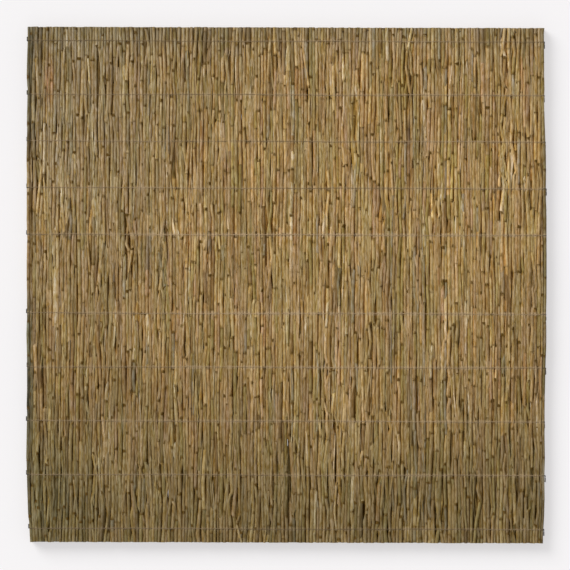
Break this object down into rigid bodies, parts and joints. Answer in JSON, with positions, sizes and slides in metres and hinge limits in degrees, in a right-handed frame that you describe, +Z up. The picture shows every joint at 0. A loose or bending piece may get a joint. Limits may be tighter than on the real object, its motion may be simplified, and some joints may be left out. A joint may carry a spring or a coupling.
{
  "type": "reed screen panel",
  "caption": "Square garden privacy screen of dry reed stalks laid side by side and bound flat between rows of galvanised wire.",
  "frame": {"origin": "under the middle of the panel, on the surface that it lies on", "axes": "+X across the reeds, +Y along the reeds towards the head of the panel, +Z up through the panel towards its front face"},
  "size_m": [1.82, 1.8, 0.0484],
  "materials": {
    "reed": "dry, straw-coloured reed with a weak sheen, grey-brown where weathered",
    "reed_core": "dull, cut ends of reed with pale walls and dark bores",
    "zinc_wire": "galvanised wire, dull grey"
  },
  "bodies": {
    "root": {"front_reeds_1": "reed", "front_reeds_2": "reed", "front_reeds_3": "reed", "front_reeds_4": "reed", "front_reeds_5": "reed", "front_reeds_6": "reed", "front_reeds_7": "reed", "front_reeds_8": "reed", "front_reeds_9": "reed", "front_reeds_10": "reed", "front_reeds_11": "reed", "core_reeds_1": "reed_core", "core_reeds_2": "reed_core", "core_reeds_3": "reed_core", "core_reeds_4": "reed_core", "core_reeds_5": "reed_core", "core_reeds_6": "reed_core", "core_reeds_7": "reed_core", "core_reeds_8": "reed_core", "core_reeds_9": "reed_core", "core_reeds_10": "reed_core", "core_reeds_11": "reed_core", "back_reeds_1": "reed", "back_reeds_2": "reed", "back_reeds_3": "reed", "back_reeds_4": "reed", "back_reeds_5": "reed", "back_reeds_6": "reed", "back_reeds_7": "reed", "back_reeds_8": "reed", "back_reeds_9": "reed", "back_reeds_10": "reed", "back_reeds_11": "reed", "front_wire_1": "zinc_wire", "front_wire_2": "zinc_wire", "front_wire_3": "zinc_wire", "front_wire_4": "zinc_wire", "front_wire_5": "zinc_wire", "front_wire_6": "zinc_wire", "front_wire_7": "zinc_wire", "front_wire_8": "zinc_wire", "front_wire_9": "zinc_wire", "front_wire_10": "zinc_wire", "back_wire_1": "zinc_wire", "back_wire_2": "zinc_wire", "back_wire_3": "zinc_wire", "back_wire_4": "zinc_wire", "back_wire_5": "zinc_wire", "back_wire_6": "zinc_wire", "back_wire_7": "zinc_wire", "back_wire_8": "zinc_wire", "back_wire_9": "zinc_wire", "back_wire_10": "zinc_wire"}
  },
  "joints": []
}
